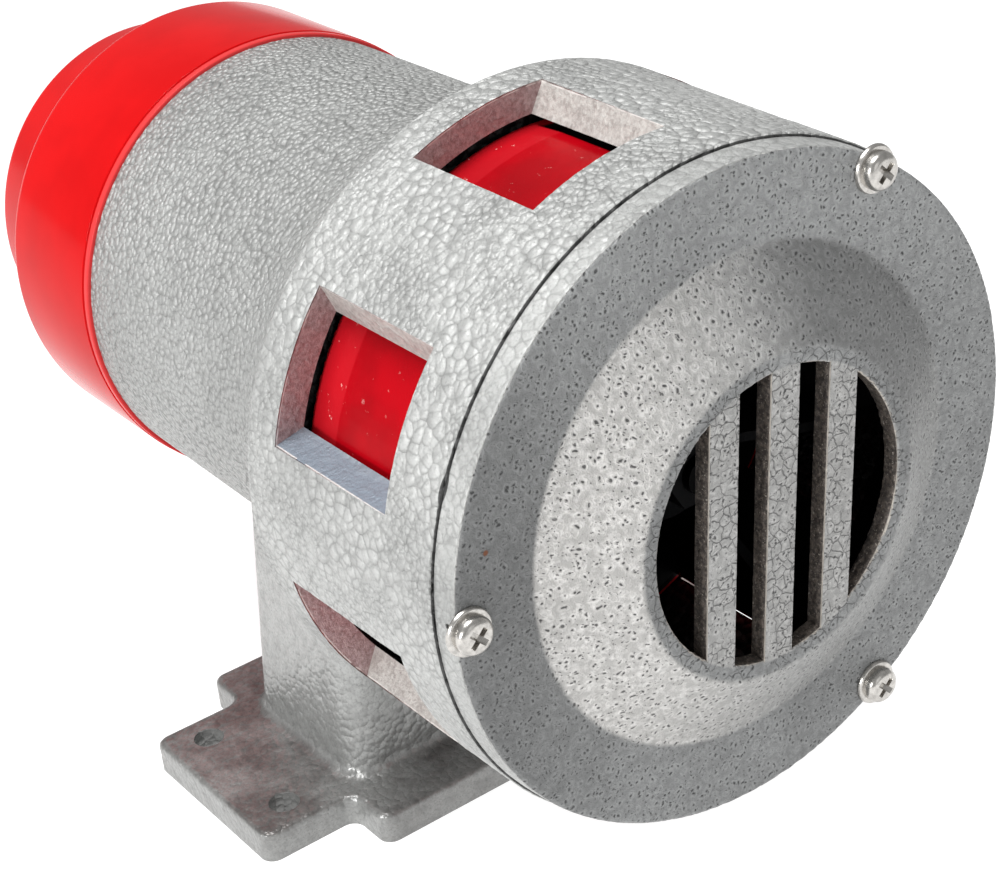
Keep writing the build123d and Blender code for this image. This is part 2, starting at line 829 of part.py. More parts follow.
brush_blank_start = 12.0
brush_cap_margin = 5.0
brush_cap_thickness = 2.5
spring_radius = 2.4
spring_wire = 0.35
spring_turns = 6
for side_name, side_angle in (("right", 0), ("left", 180)):
    with BuildPart() as brush_holder:
        with BuildSketch(radial_plane(side_angle, holder_inner_end, brush_station)):
            Rectangle(holder_width, holder_height)
            Rectangle(
                brush_width + 2 * sliding_clearance,
                brush_height + 2 * sliding_clearance,
                mode=Mode.SUBTRACT,
            )
        extrude(amount=holder_outer_end - holder_inner_end)
    save(brush_holder.part, f"brush_holder_{side_name}")

    with BuildPart() as brush_cap:
        with BuildSketch(radial_plane(side_angle, holder_outer_end, brush_station)):
            RectangleRounded(brush_width + brush_cap_margin, brush_height + brush_cap_margin, 2.0)
        extrude(amount=brush_cap_thickness)
    save(brush_cap.part, f"brush_cap_{side_name}")

    with BuildPart() as carbon_brush:
        with BuildSketch(radial_plane(side_angle, brush_blank_start, brush_station)):
            Rectangle(brush_width, brush_height)
        extrude(amount=brush_outer_end - brush_blank_start)
        with BuildSketch(cross_plane(brush_station - brush_width)):
            Circle(brush_inner_end)
        extrude(amount=-2 * brush_width, mode=Mode.SUBTRACT)
    save(carbon_brush.part, f"carbon_brush_{side_name}")

    spring_length = holder_outer_end - brush_outer_end - 2 * spring_wire - 0.2
    spring_foot = radial_plane(side_angle, brush_outer_end + spring_wire + 0.1, brush_station)
    with BuildPart() as brush_spring:
        with BuildLine() as coil:
            Helix(
                pitch=spring_length / spring_turns,
                height=spring_length,
                radius=spring_radius,
                center=spring_foot.origin,
                direction=spring_foot.z_dir,
            )
        with BuildSketch(coil.line ^ 0):
            Circle(spring_wire)
        sweep()
    save(brush_spring.part, f"brush_spring_{side_name}")


# ---- wiring end inside the cap -----------------------------------------------------------------
terminal_height = axis_height - 32.0
terminal_station = bracket_rear + 6.0
terminal_block_width = 30.0
terminal_block_size = 12.0
terminal_pitch = 10.0
terminal_count = 3
terminal_well_radius = 2.4
terminal_screw_radius = 2.2
terminal_screw_foot = terminal_height - 1.0
terminal_screw_height = 4.5
with BuildPart() as terminal_block:
    with BuildSketch(Plane.XY.offset(terminal_height - terminal_block_size / 2)):
        with Locations((0, terminal_station)):
            Rectangle(terminal_block_width, terminal_block_size)
    extrude(amount=terminal_block_size)
    with BuildSketch(Plane.XY.offset(terminal_screw_foot)):
        with Locations((0, terminal_station)):
            with GridLocations(terminal_pitch, 0, terminal_count, 1):
                Circle(terminal_well_radius)
    extrude(amount=terminal_block_size, mode=Mode.SUBTRACT)
save(terminal_block.part, "terminal_block")

with BuildPart() as terminal_screws:
    with BuildSketch(Plane.XY.offset(terminal_screw_foot)):
        with Locations((0, terminal_station)):
            with GridLocations(terminal_pitch, 0, terminal_count, 1):
                Circle(terminal_screw_radius)
    extrude(amount=terminal_screw_height)
    with BuildSketch(Plane.XY.offset(terminal_screw_foot + terminal_screw_height)):
        with Locations((0, terminal_station)):
            with GridLocations(terminal_pitch, 0, terminal_count, 1):
                Rectangle(2 * terminal_screw_radius + 0.2, 0.7)
    extrude(amount=-1.2, mode=Mode.SUBTRACT)
save(one_or_many(terminal_screws.part), "terminal_screws")

capacitor_height = 30.0      # above the siren's axis
capacitor_radius = 6.5
capacitor_length = 26.0
with BuildPart() as suppression_capacitor:
    with BuildSketch(cross_plane(bracket_rear)):
        with Locations((0, capacitor_height)):
            Circle(capacitor_radius)
    extrude(amount=-capacitor_length)
    fillet(suppression_capacitor.faces().sort_by(Axis.Y)[-1].edges(), 1.5)
save(suppression_capacitor.part, "suppression_capacitor")
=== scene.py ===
import math

import bmesh
import bpy
import numpy as np
from mathutils import Matrix, Vector


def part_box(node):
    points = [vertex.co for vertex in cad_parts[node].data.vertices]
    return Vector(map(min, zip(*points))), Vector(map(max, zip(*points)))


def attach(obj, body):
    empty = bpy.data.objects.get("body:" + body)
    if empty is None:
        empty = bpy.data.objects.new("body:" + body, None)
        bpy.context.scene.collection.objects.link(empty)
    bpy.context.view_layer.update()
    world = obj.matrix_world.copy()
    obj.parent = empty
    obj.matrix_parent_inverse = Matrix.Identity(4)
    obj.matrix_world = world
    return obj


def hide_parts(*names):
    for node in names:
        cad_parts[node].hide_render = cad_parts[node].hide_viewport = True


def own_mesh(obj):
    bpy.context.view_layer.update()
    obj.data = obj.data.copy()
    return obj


# Motor siren, looks only.  Metres, +Z up, the air intake faces -Y.  Stations are places along Y,
# and angles round the siren's axis go from +X towards +Z, as seen from the front.

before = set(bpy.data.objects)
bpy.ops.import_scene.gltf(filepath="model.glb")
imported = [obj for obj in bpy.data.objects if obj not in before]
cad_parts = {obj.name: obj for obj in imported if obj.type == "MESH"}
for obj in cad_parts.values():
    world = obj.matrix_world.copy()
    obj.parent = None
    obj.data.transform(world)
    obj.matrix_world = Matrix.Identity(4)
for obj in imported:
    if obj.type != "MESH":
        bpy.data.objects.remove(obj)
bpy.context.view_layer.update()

MM = 0.001
cap_low, cap_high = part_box("rear_cap")
cover_low, cover_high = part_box("front_cover")
washers_low, washers_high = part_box("cover_screw_washers")
axis_height = (cap_low.z + cap_high.z) / 2
grille_face = cover_low.y               # the front of the bars
cover_face = washers_high.y             # the flat outer ring, where the washers sit
seam = cover_high.y                     # between the cover and the drum

# the body casting
foot_top = 7.2 * MM
pedestal_top = 30.0 * MM                # where the casting is split for its lowest piece
drum_rear = -45.0 * MM
drum_radius = 67.0 * MM
chamber_radius = 61.5 * MM
partition_front = -52.0 * MM            # the wall between the chamber and the motor
port_middle = -72.25 * MM
port_half_length = 17.75 * MM

# the front cover
cover_radius = 66.0 * MM
cone_middle = 41.0 * MM                 # halfway up the slope between the outer ring and the grille
cone_half_width = 8.0 * MM
intake_radius = 29.4 * MM
screw_ring_radius = 63.8 * MM
screw_first_angle = 58.8
screw_count = 3

large_blisters = 430.0                  # Voronoi scales of the hammered enamel
small_blisters = 700.0
finest = 8         # octree depth of the castings, coarser while trying things


# ---- node trees -------------------------------------------------------------------------------
class Tree:
    """Short ways to add nodes to a shader tree or a geometry tree."""

    def __init__(self, tree):
        self.tree = tree

    def add(self, kind, **settings):
        node = self.tree.nodes.new(kind)
        for key, value in settings.items():
            setattr(node, key, value)
        return node

    def put(self, socket, value):
        if isinstance(value, bpy.types.NodeSocket):
            self.tree.links.new(value, socket)
        elif value is not None:
            socket.default_value = value

    def math(self, operation, first, second=None):
        node = self.add("ShaderNodeMath", operation=operation)
        for socket, value in zip(node.inputs, (first, second)):
            self.put(socket, value)
        return node.outputs[0]

    def multiply(self, first, *others):
        for other in others:
            first = self.math("MULTIPLY", first, other)
        return first

    def vector(self, operation, first, second=None, scale=None):
        node = self.add("ShaderNodeVectorMath", operation=operation)
        self.put(node.inputs[0], first)
        if second is not None:
            self.put(node.inputs[1], second)
        if scale is not None:
            self.put(node.inputs["Scale"], scale)
        return node.outputs["Value" if operation in ("DOT_PRODUCT", "LENGTH") else "Vector"]

    def noise(self, coords, scale, detail=2.0, roughness=0.5, output=0):
        """Noise as a number, or as a vector from output 1."""
        node = self.add("ShaderNodeTexNoise")
        self.put(node.inputs["Vector"], coords)
        node.inputs["Scale"].default_value = scale
        node.inputs["Detail"].default_value = detail
        node.inputs["Roughness"].default_value = roughness
        return node.outputs[output]

    def cells(self, coords, scale, feature="F1", dimensions="3D"):
        node = self.add("ShaderNodeTexVoronoi", feature=feature, voronoi_dimensions=dimensions)
        self.put(node.inputs["Vector"], coords)
        node.inputs["Scale"].default_value = scale
        return node.outputs["Distance"]

    def spread(self, value, low, high, new_low=0.0, new_high=1.0):
        """A soft step from new_low at low to new_high at high."""
        node = self.add("ShaderNodeMapRange", interpolation_type="SMOOTHSTEP")
        for socket, number in zip(node.inputs, (value, low, high, new_low, new_high)):
            self.put(socket, number)
        return node.outputs[0]

    def mix(self, share, first, second):
        node = self.add("ShaderNodeMix", data_type="RGBA")
        self.put(node.inputs[0], share)
        self.put(node.inputs[6], first)
        self.put(node.inputs[7], second)
        return node.outputs[2]

    def split(self, vector):
        node = self.add("ShaderNodeSeparateXYZ")
        self.put(node.inputs[0], vector)
        return node.outputs

    def join(self, first, second, third=None):
        node = self.add("ShaderNodeCombineXYZ")
        for socket, value in zip(node.inputs, (first, second, third)):
            self.put(socket, value)
        return node.outputs[0]

    def facing(self):
        """The three parts of the surface's own direction."""
        return self.split(self.add("ShaderNodeTexCoord").outputs["Normal"])

    def around_axis(self, coords):
        """Station, distance from the siren's axis, and the places to the side of it and above it."""
        side, station, height = self.split(coords)
        rise = self.math("SUBTRACT", height, axis_height)
        squared = self.math("ADD", self.multiply(rise, rise), self.multiply(side, side))
        return station, self.math("SQRT", squared), side, rise


def new_material(name, metallic, roughness, **sockets):
    """A material with one Principled shader.  Returns it with its tree helper, shader and coordinates."""
    material = bpy.data.materials.new(name)
    material.use_nodes = True
    tree = Tree(material.node_tree)
    shader = material.node_tree.nodes["Principled BSDF"]
    shader.inputs["Metallic"].default_value = metallic
    shader.inputs["Roughness"].default_value = roughness
    for key, value in sockets.items():
        shader.inputs[key.replace("_", " ")].default_value = value
    coords = tree.add("ShaderNodeTexCoord").outputs["Object"]
    return material, tree, shader, coords


def bump(tree, shader, height, distance, strength=1.0):
    node = tree.add("ShaderNodeBump")
    node.inputs["Strength"].default_value = strength
    node.inputs["Distance"].default_value = distance
    tree.put(node.inputs["Height"], height)
    tree.put(shader.inputs["Normal"], node.outputs[0])


def blend(tree, share, first, second):
    node = tree.add("ShaderNodeMix", data_type="FLOAT")
    for index, value in ((0, share), (2, first), (3, second)):
        tree.put(node.inputs[index], value)
    return node.outputs[0]


def domes(tree, coords, scale):
    """Round blisters that meet in creases: near 1 on the crowns, near 0 where several of them meet."""
    away = tree.cells(coords, scale)
    return tree.math("SUBTRACT", 1.0, tree.multiply(away, away, 1.1))


def hammer_places(tree, coords):
    """Coordinates with a slight sway, and the share of small blisters, which is largest behind the drum."""
    sway = tree.vector("SUBTRACT", tree.noise(coords, 380.0, 1.0, output=1), (0.5, 0.5, 0.5))
    bent = tree.vector("ADD", coords, tree.vector("SCALE", sway, scale=1.1 * MM))
    patch = tree.spread(tree.noise(coords, 60.0), 0.42, 0.62, 0.0, 0.7)
    behind = tree.spread(tree.split(coords)[1], drum_rear - 5 * MM, drum_rear + 12 * MM)
    return bent, tree.math("MAXIMUM", patch, behind)


def hammer_height(tree, coords):
    """Crowded blisters of hammered enamel, larger on the drum than on the barrel and the column."""
    bent, share = hammer_places(tree, coords)
    return blend(tree, share, domes(tree, bent, large_blisters), domes(tree, bent, small_blisters))


def hammer_creases(tree, coords):
    """1 in the narrow creases between the blisters, 0 elsewhere."""
    bent, share = hammer_places(tree, coords)
    large = tree.spread(tree.cells(bent, large_blisters, "DISTANCE_TO_EDGE"), 0.0, 0.17, 1.0, 0.0)
    small = tree.spread(tree.cells(bent, small_blisters, "DISTANCE_TO_EDGE"), 0.0, 0.2, 1.0, 0.0)
    return blend(tree, share, large, small)


# ---- materials ----------------------------------------------------------------------------------
body_light = (0.45, 0.455, 0.445)
cover_light = (0.27, 0.275, 0.275)
# near-black for painted shade, in the seam and on the inside of the cover
shade_black = (0.02, 0.02, 0.02, 1)


def scaled(colour, factor):
    return (*(factor * channel for channel in colour), 1.0)


def near(tree, value, middle, half_width, soft):
    """1 within half_width of the middle, falling to 0 over a soft margin."""
    return tree.spread(tree.math("ABSOLUTE", tree.math("SUBTRACT", value, middle)),
                       half_width, half_width + soft, 1.0, 0.0)


def enamel_colour(tree, coords, light, crease_shade_share=0.42):
    """Pale crowns, painted shade in the creases that is darker in some places than in others, slow patches
    and fine flakes.
    """
    fine = tree.noise(coords, 2000.0, 3.0, 0.65)
    patch = tree.noise(coords, 30.0, 4.0, 0.55)
    # painted shade: the creases between the blisters are darkened
    crease_shade = tree.multiply(hammer_creases(tree, coords), crease_shade_share)
    uneven = tree.spread(tree.noise(coords, 260.0, 3.0, 0.6), 0.3, 0.6, 0.25, 1.0)
    colour = tree.mix(tree.spread(patch, 0.38, 0.68), scaled(light, 1.08), scaled(light, 0.84))
    colour = tree.mix(tree.multiply(crease_shade, uneven), colour, scaled(light, 0.3))
    return tree.mix(tree.spread(fine, 0.52, 0.72, 0.0, 0.5), colour, scaled(light, 0.5)), fine


def seam_shade_mask(tree, coords, station):
    """Painted shade in the gap between the cover and the drum, with a nick here and there."""
    nick = tree.spread(tree.noise(coords, 55.0), 0.66, 0.70, 0.2 * MM, 0.6 * MM)
    off = tree.math("ABSOLUTE", tree.math("SUBTRACT", station, seam))
    gap = tree.spread(tree.math("SUBTRACT", off, nick), 0.0, 0.12 * MM, 1.0, 0.0)
    return tree.multiply(gap, 0.9)


def port_walls(tree, coords, facing):
    """The mask of the sound ports' walls, which face across the radius, and their bare metal."""
    station, radius, side, rise = tree.around_axis(coords)
    arm = tree.join(tree.math("DIVIDE", side, radius), None, tree.math("DIVIDE", rise, radius))
    direction = tree.add("ShaderNodeTexCoord").outputs["Normal"]
    outward = tree.math("ABSOLUTE", tree.vector("DOT_PRODUCT", direction, arm))
    wall_middle, wall_half_depth = 63.6 * MM, 3.6 * MM
    wall = tree.multiply(tree.spread(outward, 0.45, 0.75, 1.0, 0.0),
                         near(tree, station, port_middle, port_half_length + 0.55 * MM, 0.3 * MM),
                         near(tree, radius, wall_middle, wall_half_depth, 0.4 * MM))
    grit = tree.noise(coords, 900.0, 4.0, 0.7)
    coarse = tree.spread(grit, 0.35, 0.7)
    bare = tree.mix(coarse, (0.56, 0.54, 0.51, 1), (0.36, 0.33, 0.31, 1))
    brown = tree.mix(coarse, (0.47, 0.36, 0.36, 1), (0.27, 0.18, 0.18, 1))
    # bluish sills on the left, brown walls towards the rear
    sill = tree.multiply(tree.spread(facing[2], 0.3, 0.5), tree.spread(side, -35 * MM, -40 * MM),
                         tree.spread(rise, -25 * MM, -20 * MM))
    bare = tree.mix(sill, bare, (0.20, 0.235, 0.28, 1))
    rear_wall = tree.spread(tree.multiply(facing[1], -1.0), 0.4, 0.7)
    rear_share = tree.multiply(rear_wall, tree.spread(rise, -56 * MM, -36 * MM, 0.45, 1.0))
    bare = tree.mix(rear_share, bare, brown)
    burr = tree.multiply(wall, tree.spread(radius, drum_radius - 0.1 * MM, drum_radius + 0.1 * MM),
                         tree.spread(tree.noise(coords, 300.0), 0.4, 0.5), 0.8)
    return wall, bare, burr, grit


def chamber_shade_mask(tree, station, radius, wall):
    """The chamber behind the ports, with the wall that closes it at the rear: the mask for its painted shade.
    """
    chamber = tree.multiply(tree.spread(radius, chamber_radius - 0.3 * MM, chamber_radius - 0.6 * MM),
                            tree.spread(station, partition_front + 2 * MM, partition_front - 2 * MM))
    partition = tree.multiply(tree.spread(radius, chamber_radius + 0.7 * MM, chamber_radius - 0.3 * MM),
                              tree.spread(station, partition_front - 2.2 * MM, partition_front - 1.4 * MM),
                              tree.spread(station, partition_front + 3 * MM, partition_front + 2 * MM))
    bore = tree.multiply(tree.spread(radius, chamber_radius + 0.5 * MM, chamber_radius + 0.2 * MM),
                         tree.spread(station, partition_front - 0.5 * MM, partition_front - 1.5 * MM),
                         tree.spread(wall, 0.4, 0.6, 1.0, 0.0))
    return tree.math("MAXIMUM", bore, tree.math("MAXIMUM", chamber, partition))


def column_paint(tree, coords, height_above, fine):
    """Calmer, glossier paint of the column, with a painted shadow that darkens it towards the foot."""
    colour = tree.mix(tree.spread(fine, 0.45, 0.7), scaled(body_light, 0.92), scaled(body_light, 0.62))
    patch = tree.spread(tree.noise(coords, 340.0, 3.0, 0.6), 0.4, 0.66, 0.0, 0.5)
    colour = tree.mix(patch, colour, scaled(body_light, 0.5))
    shadow = tree.spread(height_above, 12 * MM, 45 * MM, 0.3, 0.0)
    return tree.mix(shadow, colour, (0.07, 0.072, 0.07, 1))


def body_material():
    """Silver hammertone enamel, with bare metal on the walls of the sound ports and a stained foot."""
    material, tree, shader, coords = new_material("body_enamel_paint", 0.36, 0.45)
    station, radius, _, rise = tree.around_axis(coords)
    facing = tree.facing()
    height = hammer_height(tree, coords)
    colour, fine = enamel_colour(tree, coords, body_light)

    behind = tree.spread(station, drum_rear - 5 * MM, drum_rear + 12 * MM, 0.0, 0.5)
    behind = tree.multiply(behind, tree.spread(rise, -45 * MM, -10 * MM))
    colour = tree.mix(behind, colour, scaled(body_light, 0.72))

    wall, bare, burr, grit = port_walls(tree, coords, facing)
    colour = tree.mix(wall, colour, bare)
    colour = tree.mix(burr, colour, (0.78, 0.75, 0.72, 1))
    # painted shade: the chamber behind the ports is made near-black
    colour = tree.mix(chamber_shade_mask(tree, station, radius, wall), colour, (0.006, 0.006, 0.006, 1))

    height_above = tree.math("ADD", rise, axis_height)
    column = tree.multiply(tree.spread(height_above, 42 * MM, 70 * MM, 1.0, 0.0),
                           near(tree, station, 0.0, 43 * MM, 3 * MM))
    colour = tree.mix(tree.multiply(column, 0.85), colour, column_paint(tree, coords, height_above, fine))

    stain = tree.multiply(tree.spread(height_above, foot_top - 0.5 * MM, foot_top + 4 * MM, 1.0, 0.0),
                          tree.spread(tree.noise(coords, 70.0, 4.0, 0.6), 0.38, 0.62, 0.25, 0.75),
                          tree.spread(facing[2], 0.5, 0.9, 0.25, 1.0))
    grain = tree.spread(tree.noise(coords, 520.0, 4.0, 0.7), 0.42, 0.6)
    colour = tree.mix(stain, colour, tree.mix(grain, (0.045, 0.037, 0.035, 1), (0.11, 0.093, 0.088, 1)))

    colour = tree.mix(seam_shade_mask(tree, coords, station), colour, shade_black)
    tree.put(shader.inputs["Base Color"], colour)
    gloss = tree.spread(height, 0.3, 1.0, 0.6, 0.41)
    tree.put(shader.inputs["Roughness"], blend(tree, column, gloss, 0.3))
    calm = tree.math("SUBTRACT", 1.0, tree.math("MAXIMUM", wall, tree.multiply(column, 0.86)))
    relief = tree.multiply(tree.math("ADD", height, tree.multiply(fine, 0.2)), calm)
    relief = tree.math("ADD", relief, tree.multiply(grit, wall, 0.25))
    bump(tree, shader, relief, 1.3 * MM)
    return material


def pinholes(tree, coords, plane, frontal):
    """Pinholes of two sizes on surfaces that face forward, with the rings and gaps round the larger ones."""
    spot = tree.cells(plane, 510.0, dimensions="2D")
    large = tree.multiply(tree.spread(spot, 0.07, 0.15, 1.0, 0.0),
                          tree.spread(tree.noise(coords, 230.0), 0.40, 0.47))
    small = tree.multiply(tree.spread(tree.cells(plane, 950.0, dimensions="2D"), 0.06, 0.16, 0.8, 0.0),
                          tree.spread(tree.noise(coords, 330.0), 0.46, 0.54))
    pit = tree.multiply(tree.math("MAXIMUM", large, small), frontal)
    ring = tree.multiply(near(tree, spot, 0.3, 0.03, 0.09), frontal)
    between = tree.multiply(tree.spread(spot, 0.46, 0.62), frontal)
    return pit, ring, between


def cone_colour(tree, colour, side, rise, radius, mottle):
    """The slope is paler with painted light, most of all low on the left, and smoother and darker at the
    upper right with painted shade and a darker patch of paint.
    """
    angle = tree.math("ARCTAN2", rise, side)
    cone = near(tree, radius, cone_middle, cone_half_width, 1.2 * MM)
    bars = tree.spread(radius, intake_radius + 0.6 * MM, intake_radius, 0.0, 0.45)
    # painted light on the slope, strongest on the left where the light falls
    pale = tree.multiply(cone, tree.spread(side, -36 * MM, 16 * MM, 0.85, 0.22))
    warm = tree.mix(mottle, (0.52, 0.508, 0.49, 1), (0.70, 0.685, 0.665, 1))
    colour = tree.mix(tree.math("MAXIMUM", pale, bars), colour, warm)
    # painted shade at the upper right, together with a darker patch of paint
    shade_and_dark_patch = tree.multiply(cone, near(tree, angle, 0.85, 0.35, 0.55), 0.7)
    return tree.mix(shade_and_dark_patch, colour, scaled(cover_light, 0.55))


def intake_walls(tree, coords, colour, station, radius, ahead):
    """Rough brown walls between the bars, with a bright line along their front edges."""
    wall = tree.multiply(tree.spread(radius, intake_radius + 0.6 * MM, intake_radius + 0.2 * MM),
                         tree.spread(ahead, 0.5, 0.8, 1.0, 0.0))
    grit = tree.noise(coords, 1100.0, 4.0, 0.7)
    brown = tree.mix(tree.spread(grit, 0.4, 0.65), (0.05, 0.038, 0.032, 1), (0.22, 0.18, 0.15, 1))
    sparkle = tree.spread(tree.noise(coords, 2600.0), 0.64, 0.70)
    brown = tree.mix(sparkle, brown, (0.62, 0.56, 0.48, 1))
    colour = tree.mix(tree.multiply(wall, 0.9), colour, brown)
    arris = tree.multiply(wall, tree.spread(station, grille_face + 0.5 * MM, grille_face + 0.3 * MM), 0.8)
    return tree.mix(arris, colour, (0.74, 0.69, 0.62, 1))


def cover_material():
    """Mid grey hammertone with pinholes, some of them in the middle of shallow rings."""
    light = cover_light
    material, tree, shader, coords = new_material("cover_enamel_paint", 0.3, 0.42)
    station, radius, side, rise = tree.around_axis(coords)
    facing = tree.facing()
    ahead = tree.math("ABSOLUTE", facing[1])
    frontal = tree.spread(ahead, 0.4, 0.7)
    height = hammer_height(tree, coords)
    colour, fine = enamel_colour(tree, coords, light, 0.2)

    sway = tree.split(tree.vector("SCALE", tree.noise(coords, 520.0, 1.0, output=1), scale=1.5 * MM))
    plane = tree.join(tree.math("ADD", side, sway[0]), tree.math("ADD", rise, sway[1]))
    pit, ring, between = pinholes(tree, coords, plane, frontal)
    # painted light: paler towards the top of the cover; painted shade: darker towards its left
    colour = tree.mix(tree.spread(rise, 10 * MM, 62 * MM, 0.0, 0.45), colour, scaled(light, 1.5))
    colour = tree.mix(tree.spread(side, -62 * MM, -25 * MM, 0.55, 0.0), colour, scaled(light, 0.5))
    mottle = tree.spread(tree.noise(coords, 700.0, 5.0, 0.75), 0.42, 0.6)
    colour = cone_colour(tree, colour, side, rise, radius, mottle)

    # the rim's side has the body's paler enamel colour as painted light, with a painted highlight along its
    # front edge
    rim_side = tree.multiply(tree.spread(ahead, 0.4, 0.7, 1.0, 0.0),
                             tree.spread(radius, cover_radius - 2 * MM, cover_radius - 1 * MM))
    rim_lit_paint = enamel_colour(tree, coords, body_light)[0]
    colour = tree.mix(rim_side, colour, rim_lit_paint)
    # painted highlight along the rim's front edge
    lip = tree.multiply(tree.spread(radius, cover_radius - 0.2 * MM, cover_radius),
                        tree.spread(ahead, 0.95, 0.99, 1.0, 0.0),
                        tree.spread(station, cover_face + 0.6 * MM, cover_face + 0.4 * MM), 0.8)
    colour = tree.mix(lip, colour, (0.72, 0.71, 0.69, 1))

    crackle = tree.cells(plane, 440.0, "DISTANCE_TO_EDGE", "2D")
    crackle = tree.multiply(tree.spread(crackle, 0.015, 0.07, 1.0, 0.0), frontal,
                            tree.spread(radius, intake_radius + 3.6 * MM, intake_radius + 1.6 * MM),
                            tree.spread(tree.noise(coords, 140.0), 0.36, 0.48))
    shade = tree.math("SUBTRACT", tree.multiply(ring, 0.13), tree.multiply(between, 0.12))
    colour = tree.vector("SCALE", colour, scale=tree.math("ADD", shade, 1.0))
    colour = tree.mix(tree.multiply(crackle, 0.6), colour, scaled(light, 0.22))
    colour = tree.mix(tree.multiply(pit, 0.88), colour, scaled(light, 0.16))

    colour = intake_walls(tree, coords, colour, station, radius, ahead)
    # painted shade: the inside of the cover, seen through the grille, is made near-black
    inside = tree.multiply(tree.spread(facing[1], 0.3, 0.6), tree.spread(radius, 60 * MM, 59 * MM))
    colour = tree.mix(inside, colour, shade_black)
    colour = tree.mix(seam_shade_mask(tree, coords, station), colour, shade_black)
    rust = (-58.4 * MM, cover_face, axis_height + 14.5 * MM)
    away = tree.vector("LENGTH", tree.vector("SUBTRACT", coords, rust))
    colour = tree.mix(tree.spread(away, 0.35 * MM, 0.7 * MM, 1.0, 0.0), colour, (0.16, 0.05, 0.015, 1))
    tree.put(shader.inputs["Base Color"], colour)
    tree.put(shader.inputs["Roughness"], tree.spread(height, 0.0, 1.0, 0.55, 0.4))
    relief = tree.multiply(height, tree.spread(ahead, 0.4, 0.7, 1.4, 0.4))
    for part, weight in ((fine, 0.35), (mottle, 0.25), (ring, 0.2)):
        relief = tree.math("ADD", relief, tree.multiply(part, weight))
    sunk = tree.multiply(tree.math("MAXIMUM", pit, crackle), 0.9)
    bump(tree, shader, tree.math("SUBTRACT", relief, sunk), 0.3 * MM)
    return material


def rotor_material():
    """Thick red enamel with chips along the rim's rear edge, a painted sheen on the chamfer near that edge,
    and black inside as painted shade.
    """
    material, tree, shader, coords = new_material("rotor_red", 0.0, 0.25, Specular_IOR_Level=0.06)
    station, radius = tree.around_axis(coords)[:2]
    patch = tree.noise(coords, 80.0, 3.0)
    colour = tree.mix(tree.spread(patch, 0.35, 0.68), (0.385, 0.0015, 0.006, 1), (0.30, 0.0015, 0.005, 1))
    front_edge = -63.2 * MM
    # painted sheen: the chamfer near the rear edge is paler red
    chamfer_sheen = tree.spread(station, front_edge, front_edge + 0.8 * MM)
    colour = tree.mix(tree.multiply(chamfer_sheen, 0.5), colour, (0.50, 0.012, 0.02, 1))
    chip = tree.multiply(tree.spread(tree.noise(coords, 420.0, 4.0, 0.7), 0.66, 0.7),
                         tree.spread(station, -64 * MM, -57 * MM, 0.25, 1.0))
    colour = tree.mix(chip, colour, (0.75, 0.45, 0.42, 1))
    # painted shade: the inside of the rim is made near-black
    inner = tree.spread(radius, 58.9 * MM, 58.5 * MM)
    colour = tree.mix(inner, colour, (0.012, 0.012, 0.012, 1))
    tree.put(shader.inputs["Base Color"], colour)
    bump(tree, shader, tree.noise(coords, 160.0), 0.12 * MM, 0.5)
    return material


def red_cap_material():
    """Glossy red moulding, with a painted highlight along the lip at its mouth."""
    material, tree, shader, coords = new_material("red_moulding", 0.0, 0.16, Specular_IOR_Level=0.06)
    patch = tree.noise(coords, 45.0, 3.0, 0.55)
    # painted highlight: the lip at the mouth is paler red
    lip = tree.multiply(near(tree, tree.split(coords)[1], cap_low.y, 1.3 * MM, 0.5 * MM), 0.4)
    colour = tree.mix(tree.spread(patch, 0.35, 0.68), (0.53, 0.004, 0.005, 1), (0.47, 0.003, 0.004, 1))
    tree.put(shader.inputs["Base Color"], tree.mix(lip, colour, (0.72, 0.10, 0.10, 1)))
    bump(tree, shader, tree.noise(coords, 120.0), 0.05 * MM, 0.5)
    return material


def plain_metal(name, colour, roughness, grain=900.0):
    """Worked metal with a fine streaky grain in its colour, gloss and relief."""
    material, tree, shader, coords = new_material(name, 1.0, roughness)
    streak = tree.noise(coords, grain, 3.0, 0.6)
    tree.put(shader.inputs["Base Color"],
             tree.mix(tree.spread(streak, 0.35, 0.7), (*colour, 1), scaled(colour, 0.72)))
    tree.put(shader.inputs["Roughness"], tree.spread(streak, 0.3, 0.7, roughness * 0.85, roughness * 1.25))
    bump(tree, shader, streak, 0.02 * MM)
    return material


def shaft_material():
    """Ground steel, made black at its front end as painted shade."""
    material, tree, shader, coords = new_material("motor_shaft_steel", 1.0, 0.3)
    streak = tree.noise(coords, 900.0, 3.0, 0.6)
    bare = tree.mix(tree.spread(streak, 0.35, 0.7), (0.50, 0.50, 0.51, 1), (0.36, 0.36, 0.37, 1))
    # painted shade: the front end, seen inside the intake, is made black
    painted = tree.spread(tree.split(coords)[1], -60.0 * MM, -61.0 * MM)
    tree.put(shader.inputs["Base Color"], tree.mix(painted, bare, (0.01, 0.01, 0.01, 1)))
    bump(tree, shader, streak, 0.02 * MM)
    return material


def plastic(name, colour, roughness, depth=0.03, patch_scale=60.0, **sockets):
    """Moulded, varnished or painted stuff with slow patches of colour and a fine relief."""
    material, tree, shader, coords = new_material(name, 0.0, roughness, **sockets)
    patch = tree.noise(coords, patch_scale, 3.0, 0.55)
    tree.put(shader.inputs["Base Color"],
             tree.mix(tree.spread(patch, 0.35, 0.68), (*colour, 1), scaled(colour, 0.82)))
    bump(tree, shader, tree.noise(coords, 700.0), depth * MM, 0.6)
    return material


enamel = body_material()
cover_paint = cover_material()
red_moulding = red_cap_material()
rotor_red = rotor_material()
